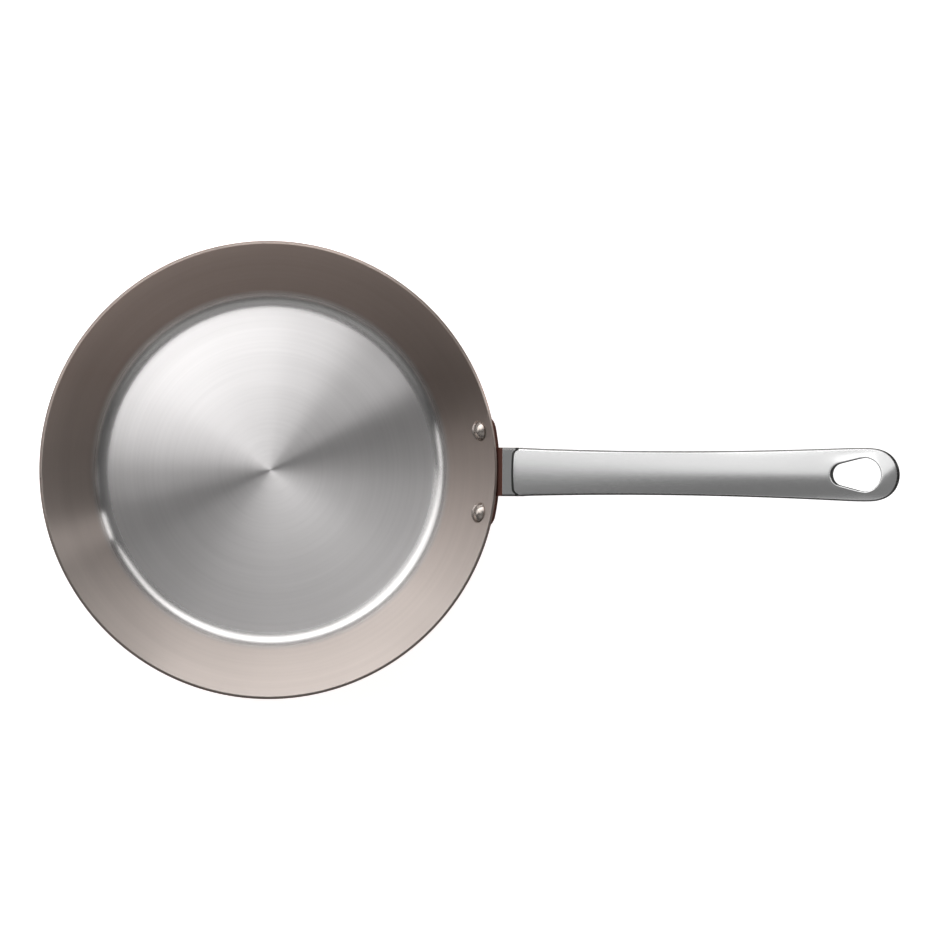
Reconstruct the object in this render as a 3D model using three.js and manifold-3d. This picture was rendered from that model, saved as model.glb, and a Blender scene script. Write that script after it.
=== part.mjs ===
// Frying pan: a body of three bonded metal sheets and one cast handle on two rivets.
// Millimetres, +Z up. The origin is the centre of the flat base, on the surface that the
// pan stands on, and the handle points along +X.

import * as THREE from 'three';
import { mergeVertices } from 'three/addons/utils/BufferGeometryUtils.js';
import Module from 'manifold-3d';

// Pan body, measured on the cooking surface
const MOUTH_RADIUS = 117.9; // top inner edge of the rim
const PAN_HEIGHT = 45; // base to the top of the rim
const FLOOR_RADIUS = 86; // flat part of the floor, and of the base under it
const CORNER_RADIUS = 10.5; // hollow of the bend between floor and wall

// The three sheets, from the food outwards
const LINING = 0.5; // stainless steel
const CORE = 1.5; // aluminium
const SHELL = 0.5; // copper
const BOND = 0.02; // line between two sheets
const RIM_EDGE = 0.3; // broken edge on either side of the rim

// Rivets
const RIVET_SPACING = 44; // between the two axes, along the wall
const RIVET_DROP = 10.1; // below the rim, down the wall
const SHANK_RADIUS = 2.5;
const HEAD_RADIUS = 5.4; // domed head, inside the pan
const HEAD_HEIGHT = 3.7;
const HEAD_LIP = 0.7; // upright edge under the dome
const TAIL_RADIUS = 4.4; // closed end, outside on the flange
const TAIL_HEIGHT = 0.9;
const TAIL_CHAMFER = 0.5;

// Handle flange, a curved plate against the wall
const FLANGE_THICK = 3.8;
const FLANGE_LOBE = 6.5; // plate round each rivet
const FLANGE_DEEP = 7; // how far the middle reaches below the lobes
const FLANGE_EDGE = 0.9; // rounding of the plate's outer edge

// Handle neck and grip, seen from above
const CREST_REACH = 8.15; // rim to the step where the grip's top face begins
const CREST_RISE = 2.5; // that step above the rim
const CREST_BOW = 3; // how far the step curves back at the sides
const STEP_RISE = 2.2; // that step above the neck's flat
const STEP_RUN = 0.8; // how far the step leans
const GRIP_LENGTH = 198.6; // step to tip, in plan
const ROOT_HALF_WIDTH = 12.75;
const WAIST_HALF_WIDTH = 11.5;
const WAIST_AT = 72; // from the step
const TAIL_HALF_WIDTH = 13.9;
const TAIL_ROUND = 18.7; // length of the round end
const TAIL_FULLNESS = 2.85; // 2 would be an ellipse
const TAIL_EASE = 0.1; // how late the widening stops before the round end
const NECK_FILLET = 2.4; // flare where the neck meets the flange
const NECK_ROUND = 2; // rounding of the neck's front, which faces the wall

// Handle, seen from the side
const ROOT_SLOPE = THREE.MathUtils.degToRad(18);
const TAIL_SLOPE = THREE.MathUtils.degToRad(13);
const ROOT_THICK = 10.5;
const TAIL_THICK = 7;
const CROWN = 1.5; // how far the top face falls from its middle to its sides
const GRIP_EDGE = 1.3; // rounding between top face and sides
const NECK_RUN = 16; // along the grip, until its underside is parallel to its top
const NECK_SHARE = 0.62; // part of the neck's underside that lies before the step
const BELLY_POWER = 0.8; // below 1 fills out the underside's curve

// Hanging hole, a pear with its wide end towards the tip
const HOLE_WIDE_RADIUS = 8.7;
const HOLE_NARROW_RADIUS = 5.8;
const HOLE_CENTRES = 11.7; // between the two round ends
const HOLE_TO_TIP = 9.2; // metal left at the tip

// Fit between neighbours, and facets
const FIT = 0.3;
const ROUND_STEPS = 72; // round the pan
const CORNER_STEPS = 6;
const RIVET_STEPS = 24;
const DOME_STEPS = 5;
const LOBE_STEPS = 5;
const PLATE_STEPS = 7;
const FRONT_STEPS = 4;
const SHOULDER_STEPS = 4;
const GRIP_STEPS = 20;
const NOSE_STEPS = 10;
const TOP_STEPS = 8;
const EDGE_STEPS = 3;
const BELLY_STEPS = 12;
const HOLE_STEPS = 18;
const LAST_SLICE = THREE.MathUtils.degToRad(86); // where a round end stops, just short of a point

// Slope of the wall: the line that touches the corner's arc and meets the rim's inner edge
const WALL = LINING + BOND + CORE + BOND + SHELL;
const wallRun = MOUTH_RADIUS - FLOOR_RADIUS;
const wallRise = PAN_HEIGHT - WALL - CORNER_RADIUS;
const lean = Math.acos(CORNER_RADIUS / Math.hypot(wallRun, wallRise)) - Math.atan2(wallRise, wallRun);
const up = new THREE.Vector2(Math.sin(lean), Math.cos(lean));
const out = new THREE.Vector2(Math.cos(lean), -Math.sin(lean));

// A point of the pan's half section: so far down the wall from the rim, so far out from
// the cooking surface
function onWall(drop, offset) {
  return new THREE.Vector2(MOUTH_RADIUS, PAN_HEIGHT).addScaledVector(up, -drop).addScaledVector(out, offset);
}

// The same point carried round the pan's axis
function roundPan(point, angle) {
  return new THREE.Vector3(point.x * Math.cos(angle), point.x * Math.sin(angle), point.y);
}

// Solids: closed geometry to and from the library that joins and cuts
const wasm = await Module();
wasm.setup();

function toSolid(geometry) {
  const bare = geometry.clone();
  bare.deleteAttribute('normal');
  bare.deleteAttribute('uv');
  const merged = mergeVertices(bare, 1e-4);
  const index = merged.index.array;
  const triangles = [];
  for (let i = 0; i < index.length; i += 3) {
    const [a, b, c] = index.slice(i, i + 3);
    if (a !== b && b !== c && c !== a) triangles.push(a, b, c);
  }
  return new wasm.Manifold(new wasm.Mesh({
    numProp: 3,
    vertProperties: new Float32Array(merged.attributes.position.array),
    triVerts: new Uint32Array(triangles),
  }));
}

function toGeometry(solid) {
  const { vertProperties, triVerts } = solid.getMesh();
  const geometry = new THREE.BufferGeometry();
  geometry.setAttribute('position', new THREE.BufferAttribute(vertProperties, 3));
  geometry.setIndex(new THREE.BufferAttribute(triVerts, 1));
  geometry.computeVertexNormals();
  return geometry;
}

// A profile of (radius, height) points turned round the Z axis
function turned(profile, steps) {
  return new THREE.LatheGeometry(profile, steps).rotateX(Math.PI / 2);
}

// A closed skin over a row of sections, each a ring of as many points, with flat ends
function loft(sections) {
  const ring = sections[0].length;
  const points = sections.flat();
  const triangles = [];
  for (let s = 0; s + 1 < sections.length; s += 1) {
    for (let i = 0; i < ring; i += 1) {
      const a = s * ring + i;
      const b = s * ring + ((i + 1) % ring);
      triangles.push(a, b, a + ring, b, b + ring, a + ring);
    }
  }
  for (const end of [0, sections.length - 1]) {
    const middle = new THREE.Vector3();
    sections[end].forEach((point) => middle.addScaledVector(point, 1 / ring));
    const hub = points.push(middle) - 1;
    for (let i = 0; i < ring; i += 1) {
      const a = end * ring + i;
      const b = end * ring + ((i + 1) % ring);
      triangles.push(...(end === 0 ? [b, a, hub] : [a, b, hub]));
    }
  }
  return new THREE.BufferGeometry().setFromPoints(points).setIndex(triangles);
}

// Where the rivets go: the wall's slope at their height, turned to either side
const rivetRing = onWall(RIVET_DROP, WALL).x;
const rivetAngle = RIVET_SPACING / 2 / rivetRing;

function rivetPlace(side) {
  const angle = side * rivetAngle;
  const inward = roundPan(out, angle).negate();
  const turn = new THREE.Quaternion().setFromUnitVectors(new THREE.Vector3(0, 0, 1), inward);
  return new THREE.Matrix4().compose(
    roundPan(onWall(RIVET_DROP, 0), angle), turn, new THREE.Vector3(1, 1, 1),
  );
}

const rivetReach = WALL + FIT + FLANGE_THICK + FIT; // from the cooking surface to the closed end

function rivetHole(side) {
  const length = 2 * (rivetReach + HEAD_HEIGHT);
  const drill = new THREE.CylinderGeometry(SHANK_RADIUS + FIT, SHANK_RADIUS + FIT, length, RIVET_STEPS);
  return toSolid(drill.rotateX(Math.PI / 2).applyMatrix4(rivetPlace(side)));
}

function drilled(solid) {
  return solid.subtract(rivetHole(1)).subtract(rivetHole(-1));
}

// One side of a sheet in half section, from the axis to just below the rim
function sheetSide(offset, stopShort) {
  const centre = new THREE.Vector2(FLOOR_RADIUS, WALL + CORNER_RADIUS);
  const side = [new THREE.Vector2(0, WALL - offset)];
  for (let i = 0; i <= CORNER_STEPS; i += 1) {
    const angle = -Math.PI / 2 + (Math.PI / 2 - lean) * (i / CORNER_STEPS);
    const reach = CORNER_RADIUS + offset;
    side.push(new THREE.Vector2(Math.cos(angle), Math.sin(angle)).multiplyScalar(reach).add(centre));
  }
  side.push(onWall(stopShort, offset));
  return side;
}

// A sheet between two distances from the cooking surface, its rim cut square to the wall
function sheet(inner, outer, innerEdge, outerEdge) {
  const inside = sheetSide(inner, innerEdge);
  const outside = sheetSide(outer, outerEdge);
  if (innerEdge > 0) inside.push(onWall(0, inner + innerEdge));
  if (outerEdge > 0) outside.push(onWall(0, outer - outerEdge));
  const profile = [...outside, ...inside.reverse()];
  return toGeometry(drilled(toSolid(turned(profile, ROUND_STEPS))));
}

// Rivet on its own axis: +Z points into the pan, zero is the cooking surface
function rivet() {
  const dome = HEAD_HEIGHT - HEAD_LIP;
  const ball = (HEAD_RADIUS ** 2 + dome ** 2) / (2 * dome);
  const spread = Math.asin(HEAD_RADIUS / ball);
  const tailEnd = -rivetReach - TAIL_HEIGHT;
  const profile = [
    new THREE.Vector2(0, tailEnd),
    new THREE.Vector2(TAIL_RADIUS - TAIL_CHAMFER, tailEnd),
    new THREE.Vector2(TAIL_RADIUS, tailEnd + TAIL_CHAMFER),
    new THREE.Vector2(TAIL_RADIUS, -rivetReach),
    new THREE.Vector2(SHANK_RADIUS, -rivetReach),
    new THREE.Vector2(SHANK_RADIUS, FIT),
    new THREE.Vector2(HEAD_RADIUS, FIT),
  ];
  for (let i = 0; i <= DOME_STEPS; i += 1) {
    const angle = spread * (1 - i / DOME_STEPS);
    const height = FIT + HEAD_LIP + ball * (Math.cos(angle) - Math.cos(spread));
    profile.push(new THREE.Vector2(ball * Math.sin(angle), height));
  }
  return turned(profile, RIVET_STEPS);
}

// Flange: sections across the plate, side by side round the pan
const flangeInner = WALL + FIT;
const flangeOuter = flangeInner + FLANGE_THICK;
const flangeTop = RIVET_DROP - FLANGE_LOBE;
const flangeBottom = RIVET_DROP + FLANGE_LOBE + FLANGE_DEEP;

function flangeSection(along) {
  const beyond = Math.max(0, Math.abs(along) - RIVET_SPACING / 2);
  const half = Math.sqrt(Math.max(0, FLANGE_LOBE ** 2 - beyond ** 2));
  const inset = RIVET_SPACING / 2 - Math.abs(along);
  const middle = THREE.MathUtils.smoothstep(inset, 0, RIVET_SPACING / 2);
  const top = RIVET_DROP - half;
  const bottom = RIVET_DROP + half + FLANGE_DEEP * middle;
  const edge = Math.min(FLANGE_EDGE, half / 2);
  const ring = [
    onWall(top, flangeInner), onWall(top, flangeOuter - edge), onWall(top + edge, flangeOuter),
    onWall(bottom - edge, flangeOuter), onWall(bottom, flangeOuter - edge), onWall(bottom, flangeInner),
  ];
  return ring.map((point) => roundPan(point, along / rivetRing));
}

function flange() {
  const end = RIVET_SPACING / 2;
  const half = [];
  for (let i = 1; i <= PLATE_STEPS; i += 1) {
    half.push(end * (i / PLATE_STEPS));
  }
  for (let i = 1; i <= LOBE_STEPS; i += 1) {
    half.push(end + FLANGE_LOBE * Math.sin(LAST_SLICE * (i / LOBE_STEPS)));
  }
  const stations = [...half.map((along) => -along).reverse(), 0, ...half];
  return loft(stations.map(flangeSection));
}

// Grip in plan: half its width at a distance from the step
const tailAt = GRIP_LENGTH - TAIL_ROUND;

// 1 up to the round end, and down to 0 at the tip
function endLeft(along) {
  return 1 - (Math.max(0, along - tailAt) / TAIL_ROUND) ** TAIL_FULLNESS;
}

function halfWidth(along) {
  if (along > tailAt) return TAIL_HALF_WIDTH * Math.sqrt(endLeft(along));
  if (along < WAIST_AT) {
    return WAIST_HALF_WIDTH + (ROOT_HALF_WIDTH - WAIST_HALF_WIDTH) * (1 - along / WAIST_AT) ** 2;
  }
  const part = (along - WAIST_AT) / (tailAt - WAIST_AT);
  const widening = part ** 2 * (1 + TAIL_EASE - TAIL_EASE * part ** (2 / TAIL_EASE));
  return WAIST_HALF_WIDTH + (TAIL_HALF_WIDTH - WAIST_HALF_WIDTH) * widening;
}

// Grip from the side: its top line bends evenly from one slope to the other
const rim = onWall(0, WALL);
const crest = new THREE.Vector2(rim.x + CREST_REACH, PAN_HEIGHT + CREST_RISE);

function gripSlope(along) {
  return THREE.MathUtils.lerp(Math.tan(ROOT_SLOPE), Math.tan(TAIL_SLOPE), along / GRIP_LENGTH);
}

function gripTop(along) {
  const rise = along * (Math.tan(ROOT_SLOPE) + gripSlope(along)) / 2;
  return new THREE.Vector2(crest.x + along, crest.y + rise);
}

function gripBottom(along) {
  const slope = gripSlope(along);
  const thick = THREE.MathUtils.lerp(ROOT_THICK, TAIL_THICK, along / GRIP_LENGTH);
  const down = new THREE.Vector2(slope, -1).normalize();
  return gripTop(along).addScaledVector(down, thick);
}

// One ring of the handle, between a point of its top line and one of its underside: a
// crowned top face, rounded edges, and a full belly below
function handleSection(top, bottom, half, crown, bow) {
  const deep = bottom.clone().sub(top);
  const depth = deep.length();
  deep.normalize();
  const edge = Math.min(GRIP_EDGE, half / 2, depth / 4);
  const flat = half - edge;
  const shoulder = crown * (flat / half) ** 2;
  const belly = depth - shoulder - edge;
  const outline = [];
  for (let i = 0; i <= TOP_STEPS; i += 1) {
    const across = flat * (1 - 2 * (i / TOP_STEPS));
    outline.push([across, crown * (across / half) ** 2]);
  }
  for (let i = 1; i <= EDGE_STEPS; i += 1) {
    const angle = (Math.PI / 2) * (i / EDGE_STEPS);
    outline.push([-flat - edge * Math.sin(angle), shoulder + edge * (1 - Math.cos(angle))]);
  }
  for (let i = 1; i < BELLY_STEPS; i += 1) {
    const angle = Math.PI * (i / BELLY_STEPS);
    outline.push([-half * Math.cos(angle), shoulder + edge + belly * Math.sin(angle) ** BELLY_POWER]);
  }
  for (let i = EDGE_STEPS; i >= 1; i -= 1) {
    const angle = (Math.PI / 2) * (i / EDGE_STEPS);
    outline.push([flat + edge * Math.sin(angle), shoulder + edge * (1 - Math.cos(angle))]);
  }
  return outline.map(([across, down]) => {
    const point = top.clone().addScaledVector(deep, down);
    const shift = bow * (across / half) ** 4 * (1 - down / depth);
    return new THREE.Vector3(point.x + shift, across, point.y);
  });
}

// Neck: out of the flange, over a rounded front to a short flat, and up the step
function neckTops(root, frontX) {
  const neckTop = crest.y - STEP_RISE;
  const centre = new THREE.Vector2(frontX + NECK_ROUND, neckTop - NECK_ROUND);
  const tops = [root];
  for (let i = 0; i <= FRONT_STEPS; i += 1) {
    const angle = Math.PI * (1 - 0.5 * (i / FRONT_STEPS));
    tops.push(new THREE.Vector2(Math.cos(angle), Math.sin(angle)).multiplyScalar(NECK_ROUND).add(centre));
  }
  tops.push(new THREE.Vector2(crest.x - STEP_RUN, neckTop), crest);
  return tops;
}

function neckSections() {
  const root = onWall(flangeTop + FLANGE_EDGE, flangeInner + FLANGE_THICK / 2);
  const heel = onWall(flangeBottom - FLANGE_EDGE, flangeInner + FLANGE_THICK / 2);
  const face = onWall(flangeTop + FLANGE_EDGE, flangeOuter);
  const foot = gripBottom(NECK_RUN);
  const span = foot.distanceTo(heel) / 3;
  const footSlope = new THREE.Vector2(1, gripSlope(NECK_RUN)).normalize();
  const heelSlope = foot.clone().sub(heel).normalize();
  const under = new THREE.CubicBezierCurve(
    heel, heel.clone().addScaledVector(heelSlope, span), foot.clone().addScaledVector(footSlope, -span), foot,
  );
  const tops = neckTops(root, face.x);
  const sections = tops.map((top, i) => {
    const bottom = under.getPoint(NECK_SHARE * (i / (tops.length - 1)));
    const near = Math.min(1, (top.x - root.x) / (face.x - root.x + NECK_FILLET));
    const flare = NECK_FILLET * (1 - Math.sqrt(1 - (1 - near) ** 2));
    const crown = top === crest ? CROWN : 0;
    const bow = top.x > face.x + NECK_ROUND ? CREST_BOW : 0;
    return handleSection(top, bottom, ROOT_HALF_WIDTH + flare, crown, bow);
  });
  for (let i = 1; i < SHOULDER_STEPS; i += 1) {
    const t = i / SHOULDER_STEPS;
    const along = NECK_RUN * t;
    const bottom = under.getPoint(THREE.MathUtils.lerp(NECK_SHARE, 1, t));
    sections.push(handleSection(gripTop(along), bottom, halfWidth(along), CROWN, CREST_BOW * (1 - t)));
  }
  return sections;
}

// Grip: even steps to the round end, then closer ones round it, where crown and belly run
// out towards the tip as they do towards the sides
function gripSections() {
  const stations = [];
  for (let i = 0; i <= GRIP_STEPS; i += 1) {
    stations.push(THREE.MathUtils.lerp(NECK_RUN, tailAt, i / GRIP_STEPS));
  }
  for (let i = 1; i <= NOSE_STEPS; i += 1) {
    stations.push(tailAt + TAIL_ROUND * Math.sin(LAST_SLICE * (i / NOSE_STEPS)));
  }
  return stations.map((along) => {
    const short = Math.max(0, GRIP_EDGE - (GRIP_LENGTH - along));
    const nose = GRIP_EDGE - Math.sqrt(GRIP_EDGE ** 2 - short ** 2);
    const left = endLeft(along);
    const bottom = gripBottom(along);
    const top = gripTop(along);
    const deep = bottom.clone().sub(top);
    const brim = CROWN + GRIP_EDGE;
    const depth = brim + (deep.length() - brim) * left ** (BELLY_POWER / 2) - nose;
    deep.normalize();
    bottom.copy(top).addScaledVector(deep, depth);
    top.addScaledVector(deep, CROWN * (1 - left) + nose);
    return handleSection(top, bottom, halfWidth(along), CROWN * left, 0);
  });
}

// Hanging hole: the outline of two round ends and the lines that touch both
function hangingHole() {
  const wideAt = GRIP_LENGTH - HOLE_TO_TIP - HOLE_WIDE_RADIUS;
  const slope = Math.atan(gripSlope(wideAt));
  const touch = Math.acos((HOLE_WIDE_RADIUS - HOLE_NARROW_RADIUS) / HOLE_CENTRES);
  const outline = new THREE.Shape();
  outline.absarc(0, 0, HOLE_WIDE_RADIUS, touch - Math.PI, Math.PI - touch, false);
  outline.absarc(-HOLE_CENTRES, 0, HOLE_NARROW_RADIUS, Math.PI - touch, touch + Math.PI, false);
  const depth = 4 * TAIL_THICK;
  const cut = new THREE.ExtrudeGeometry(outline, { depth, bevelEnabled: false, curveSegments: HOLE_STEPS });
  const middle = gripTop(wideAt);
  cut.translate(0, 0, -depth / 2).rotateY(-slope).translate(middle.x, 0, middle.y);
  return toSolid(cut);
}

function handle() {
  const bar = toSolid(loft([...neckSections(), ...gripSections()]));
  return toGeometry(drilled(toSolid(flange()).add(bar).subtract(hangingHole())));
}

// Looks
const steel = { color: 0xc9c6c2, roughness: 0.32, metalness: 1 };
const polished = { color: 0xd2d2d0, roughness: 0.16, metalness: 1 };
const aluminium = { color: 0xd8d8da, roughness: 0.4, metalness: 1 };
const copper = { color: 0xc87a55, roughness: 0.18, metalness: 1 };

function piece(name, geometry, look) {
  const mesh = new THREE.Mesh(geometry, new THREE.MeshStandardMaterial(look));
  mesh.name = name;
  return mesh;
}

function rivetPiece(name, side) {
  const mesh = piece(name, rivet(), polished);
  rivetPlace(side).decompose(mesh.position, mesh.quaternion, mesh.scale);
  return mesh;
}

const pan = new THREE.Group();
pan.add(
  piece('steel_lining', sheet(0, LINING, RIM_EDGE, 0), steel),
  piece('aluminium_core', sheet(LINING + BOND, WALL - SHELL - BOND, 0, 0), aluminium),
  piece('copper_shell', sheet(WALL - SHELL, WALL, 0, RIM_EDGE), copper),
  piece('handle', handle(), polished),
  rivetPiece('rivet_left', -1),
  rivetPiece('rivet_right', 1),
);

export default pan;
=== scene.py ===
# %% [markdown]
# # A copper frying pan with a steel lining
# The pan is drawn from one sheet of three bonded metals: brushed steel inside, aluminium in the
# middle and copper outside. Two rivets hold one cast steel handle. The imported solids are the
# fixed frame: they say where everything is, and each of them is replaced here by a finer piece.

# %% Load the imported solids
from math import acos, asin, atan, atan2, cos, degrees, hypot, pi, radians, sin, sqrt, tan

import bmesh
import bpy
from mathutils import Matrix, Vector


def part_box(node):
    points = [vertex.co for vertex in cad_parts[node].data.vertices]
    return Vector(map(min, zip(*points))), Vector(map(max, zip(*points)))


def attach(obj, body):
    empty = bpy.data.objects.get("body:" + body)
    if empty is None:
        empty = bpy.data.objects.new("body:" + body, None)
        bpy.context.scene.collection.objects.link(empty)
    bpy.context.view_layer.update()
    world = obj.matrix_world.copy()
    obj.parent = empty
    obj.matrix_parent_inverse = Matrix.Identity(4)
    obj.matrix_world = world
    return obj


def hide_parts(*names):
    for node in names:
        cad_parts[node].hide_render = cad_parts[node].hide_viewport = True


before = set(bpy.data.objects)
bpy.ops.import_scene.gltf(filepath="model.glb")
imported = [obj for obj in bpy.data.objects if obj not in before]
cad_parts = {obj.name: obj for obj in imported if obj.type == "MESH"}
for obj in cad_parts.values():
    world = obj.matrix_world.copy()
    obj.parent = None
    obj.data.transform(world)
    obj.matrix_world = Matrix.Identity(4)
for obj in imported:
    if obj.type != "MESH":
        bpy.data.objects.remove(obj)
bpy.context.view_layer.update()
scene = bpy.context.scene
MM = 0.001


# %% [markdown]
# ## Camera
# The photograph looks straight down with a long lens. A camera could be moved by eye until the
# rim fits, but the rim is a circle whose radius the frame knows, so its size and centre in the
# picture give the scale, the place and the lens at once. The handle slopes by half a degree
# in the picture, so the camera is rolled by that much.

# %% Camera above the middle of the picture
PHOTO_SIDE = 940  # pixels
RIM_CENTRE = (268.4, 470.0)  # pixels from the picture's left and top edges
RIM_RADIUS = 229.0  # pixels
CAMERA_ABOVE_RIM = 3.8  # metres
ROLL = radians(0.45)
SENSOR = 36  # millimetres

_, rim_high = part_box("copper_shell")
pixel = rim_high.x / RIM_RADIUS
right = Vector((cos(ROLL), sin(ROLL), 0))
away = Vector((-sin(ROLL), cos(ROLL), 0))
sideways = (PHOTO_SIDE / 2 - RIM_CENTRE[0]) * pixel
upwards = (RIM_CENTRE[1] - PHOTO_SIDE / 2) * pixel
camera = bpy.data.objects.new("camera", bpy.data.cameras.new("camera"))
scene.collection.objects.link(camera)
scene.camera = camera
camera.location = sideways * right + upwards * away + Vector((0, 0, rim_high.z + CAMERA_ABOVE_RIM))
camera.rotation_euler = (0, 0, ROLL)
camera.data.sensor_width = SENSOR
camera.data.lens = SENSOR * CAMERA_ABOVE_RIM / (PHOTO_SIDE * pixel)
print(f"one pixel is {pixel / MM:.4f} mm at the rim, lens {camera.data.lens:.1f} mm")

# %% [markdown]
# ## Shapes from lines
# Every piece starts as a line with rounded corners: half a section that is turned round an axis,
# or a row of rings that gets a skin. Bevel modifiers could round the corners later, but a corner
# that is rounded in the line itself keeps its radius exactly and gives even quads, which polished
# metal needs. Lengths are in millimetres until a mesh is made.

# %% Lines, skins and turned shapes
SHARP = 40  # degrees; edges that turn more stay sharp


def limited(x):
    """A number, but not under 0 or over 1."""
    return min(1, max(0, x))


def blend(start, end, share):
    """A number between two others."""
    return start + (end - start) * share


def rounded(corners, steps):
    """A line through corners of (x, y, radius), where a radius becomes an arc of some steps."""
    line = []
    for i, (x, y, radius) in enumerate(corners):
        corner = Vector((x, y))
        if radius == 0 or i in (0, len(corners) - 1):
            line.append(corner)
            continue
        back = (Vector(corners[i - 1][:2]) - corner).normalized()
        ahead = (Vector(corners[i + 1][:2]) - corner).normalized()
        half_turn = back.angle(ahead) / 2
        middle = corner + (back + ahead).normalized() * radius / sin(half_turn)
        start = corner + back * radius / tan(half_turn) - middle
        end = corner + ahead * radius / tan(half_turn) - middle
        sweep = pi - 2 * half_turn
        for k in range(steps + 1):
            share = k / steps
            near, far = sin((1 - share) * sweep), sin(share * sweep)
            line.append(middle + (start * near + end * far) / sin(sweep))
    return line


def turned(line, steps):
    """Vertices and faces of a line of (radius, height) points turned round the Z axis."""
    verts, rows = [], []
    for r, z in line:
        if r < 1e-6:
            rows.append([len(verts)] * steps)
            verts.append((0, 0, z))
            continue
        rows.append(range(len(verts), len(verts) + steps))
        angles = [2 * pi * i / steps for i in range(steps)]
        verts += [(r * cos(a), r * sin(a), z) for a in angles]
    return verts, [list(dict.fromkeys(face)) for face in strips(rows)]


def strips(rows, closed=True):
    """Faces between rows of vertex numbers, each row a ring if closed."""
    faces = []
    for row, after in zip(rows, rows[1:]):
        for i in range(len(row) if closed else len(row) - 1):
            j = (i + 1) % len(row)
            faces.append([row[i], row[j], after[j], after[i]])
    return faces


def numbered(rings):
    """All points of some rings, and each ring as a row of numbers."""
    size = len(rings[0])
    rows = [list(range(i * size, (i + 1) * size)) for i in range(len(rings))]
    return [p for points in rings for p in points], rows


def new_object(name, verts, faces, sharp=SHARP):
    """An object from millimetres, smooth apart from its sharp edges."""
    mesh = bpy.data.meshes.new(name)
    mesh.from_pydata([Vector(v) * MM for v in verts], [], faces)
    mesh.shade_smooth()
    mesh.set_sharp_from_angle(angle=radians(sharp))
    made = bpy.data.objects.new(name, mesh)
    scene.collection.objects.link(made)
    return made


print("a corner in 4 steps has", len(rounded([(0, 0, 0), (9, 0, 2), (9, 9, 0)], 4)) - 2, "points")

# %% [markdown]
# ## Pan body
# A press draws the flat sheet into a dish, so all three metals run side by side from the middle
# of the floor to the cut rim. One half section describes them all: a place on the wall is a drop
# below the rim and an offset outwards from the cooking surface. The floor is pressed a little
# upwards, so that it lies flat when hot. Drawing thins the sheet towards the rim, which is ground.

# %% Half section of the pan
MOUTH_RADIUS = 117.9  # of the cooking surface at the rim
PAN_HEIGHT = 45
FLOOR_RADIUS = 85
CORNER_RADIUS = 11
LINING, CORE, SHELL, BOND = 0.5, 1.5, 0.5, 0.02  # the sheets, and the line between two of them
WALL = LINING + BOND + CORE + BOND + SHELL
FLOOR_CROWN = 1.2  # the floor's rise in the middle
RIM_THINNING, THIN_RUN = 0.8, 12  # thinner by this at the rim, beginning so far below it
RIM_EDGE = 0.15  # radius of the rim's broken edges
ROUND_STEPS = 384
CORNER_STEPS = 18
WALL_STEPS = 16
FLOOR_STEPS = 24
THIN_STEPS = 8
RIM_STEPS = 4

wall_run = MOUTH_RADIUS - FLOOR_RADIUS
wall_rise = PAN_HEIGHT - WALL - CORNER_RADIUS
corner_to_mouth = hypot(wall_run, wall_rise)
lean = acos(CORNER_RADIUS / corner_to_mouth) - atan2(wall_rise, wall_run)
UP = Vector((sin(lean), cos(lean)))
OUT = Vector((cos(lean), -sin(lean)))
MOUTH = Vector((MOUTH_RADIUS, PAN_HEIGHT))


def on_wall(drop, offset):
    thinned = RIM_THINNING * max(0, 1 - drop / THIN_RUN) ** 2 * max(0, 1 - offset / WALL)
    return MOUTH - drop * UP + (offset + thinned) * OUT


def round_pan(point, angle):
    return Vector((point.x * cos(angle), point.x * sin(angle), point.y))


def sheet_side(offset, stop):
    """One side of a sheet, from the axis over floor, corner and wall to just below the rim."""
    side = []
    for i in range(FLOOR_STEPS):
        r = FLOOR_RADIUS * i / FLOOR_STEPS
        side.append((r, WALL - offset + FLOOR_CROWN * (1 - (r / FLOOR_RADIUS) ** 2) ** 2))
    for i in range(CORNER_STEPS + 1):
        angle = -pi / 2 + (pi / 2 - lean) * i / CORNER_STEPS
        reach = CORNER_RADIUS + offset
        height = WALL + CORNER_RADIUS + reach * sin(angle)
        side.append((FLOOR_RADIUS + reach * cos(angle), height))
    foot, bend = Vector(side[-1]), on_wall(THIN_RUN, offset)
    side += [tuple(foot.lerp(bend, i / WALL_STEPS)) for i in range(1, WALL_STEPS + 1)]
    drops = [blend(THIN_RUN, stop, i / THIN_STEPS) for i in range(1, THIN_STEPS + 1)]
    return side + [tuple(on_wall(drop, offset)) for drop in drops]


def rim_drop(offset):
    """How far the ground rim lies below its top at an offset, which is only at its two edges."""
    inset = min(RIM_EDGE, offset, WALL - offset)
    return RIM_EDGE - sqrt(RIM_EDGE**2 - (RIM_EDGE - inset) ** 2)


def sheet(inner, outer):
    """A sheet between two offsets, with its share of the rim."""
    turns = [RIM_EDGE * (1 - cos(pi / 2 * i / RIM_STEPS)) for i in range(RIM_STEPS + 1)]
    offsets = [WALL - turn for turn in turns] + turns[::-1]
    rim = [tuple(on_wall(rim_drop(offset), offset)) for offset in offsets if inner < offset < outer]
    outside, inside = sheet_side(outer, rim_drop(outer)), sheet_side(inner, rim_drop(inner))
    return turned(outside + rim + inside[::-1], ROUND_STEPS)


lining = new_object("lining", *sheet(0, LINING))
core = new_object("core", *sheet(LINING + BOND, WALL - SHELL - BOND))
shell = new_object("shell", *sheet(WALL - SHELL, WALL))
print(f"the wall leans out by {degrees(lean):.1f} degrees and is {WALL:.2f} mm thick")

# %% [markdown]
# ## Rivets
# A rivet is a turned blank with a domed head. It goes through the wall from inside, and its
# plain end is pressed flat on the handle's flange. A sphere cut by a plane would do for the dome,
# but a turned line also gives the small upright lip under it, which catches a line of light.

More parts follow.
